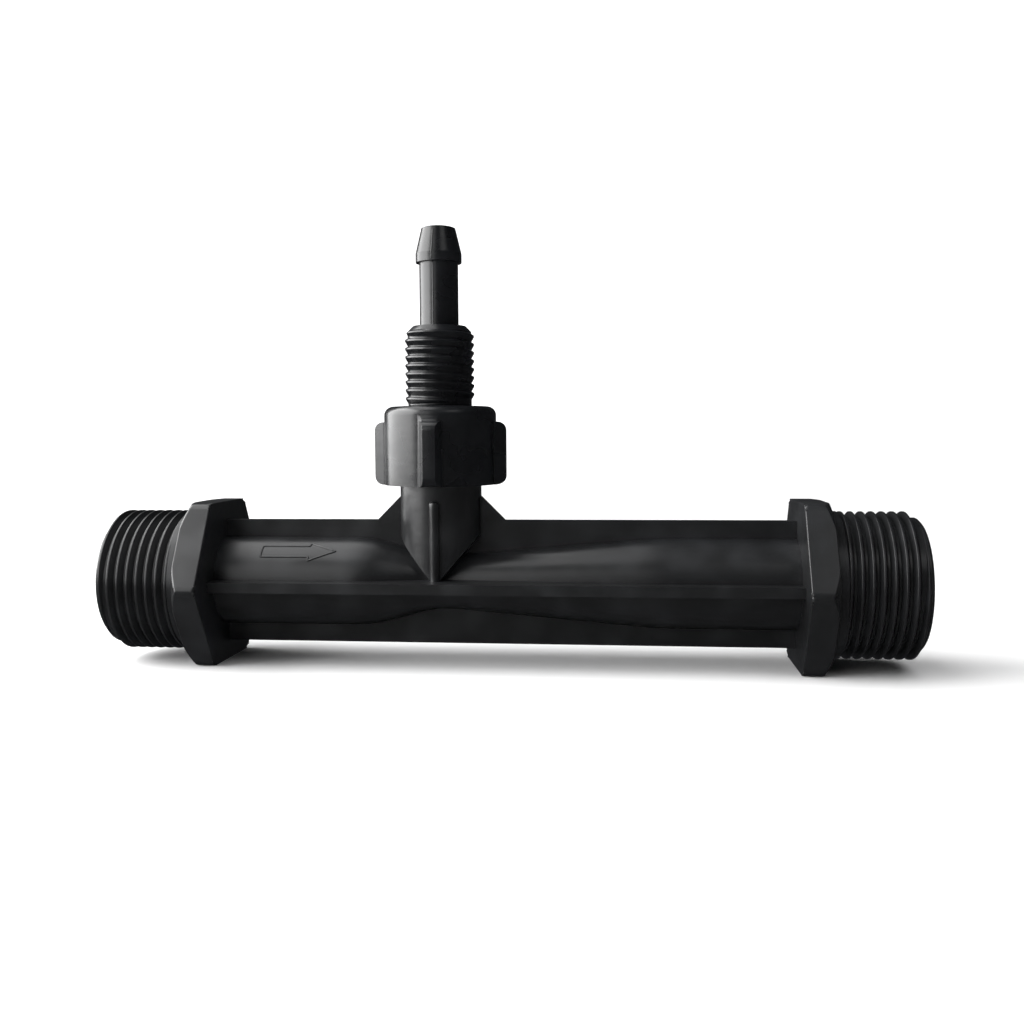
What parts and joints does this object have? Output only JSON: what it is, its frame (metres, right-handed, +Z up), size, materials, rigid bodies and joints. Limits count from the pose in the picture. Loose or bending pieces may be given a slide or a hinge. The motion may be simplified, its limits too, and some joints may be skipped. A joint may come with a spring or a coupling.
{
  "type": "venturi fertilizer injector",
  "caption": "Moulded venturi injector: a ribbed pipe that narrows to a throat, with threaded hexagon ends and an upright suction port with a union nut and a barbed hose tail.",
  "frame": {"origin": "under the middle of the body's length and on its mid plane, at the lower flats of the hexagons", "axes": "+X along the pipe with the flow, from the inlet to the outlet; +Z up along the suction port"},
  "size_m": [0.1474, 0.0346, 0.0799],
  "materials": {
    "body": "satin moulded",
    "union_nut": "satin moulded",
    "hose_tail": "satin moulded",
    "seal_ring": "matt",
    "check_ball": "smooth"
  },
  "bodies": {
    "injector": {"body": "body", "seal_ring": "seal_ring"},
    "tail": {"hose_tail": "hose_tail"},
    "nut": {"union_nut": "union_nut"},
    "ball": {"check_ball": "check_ball"}
  },
  "joints": [
    {"name": "tail_lift", "type": "slide", "parent": "injector", "child": "tail", "axis": [0, 0, 1], "range_m": [0, 0.006]},
    {"name": "nut_turn", "type": "hinge", "parent": "tail", "child": "nut", "pos_m": [-0.01175, 0, 0.04], "axis": [0, 0, 1], "range_deg": [0, 1081]},
    {"name": "ball_lift", "type": "slide", "parent": "injector", "child": "ball", "axis": [0, 0, 1], "range_m": [0, 0.0043]}
  ],
  "couplings": [
    {"joint": "nut_turn", "follows": "tail_lift", "rad_per_m": 3141.6}
  ]
}
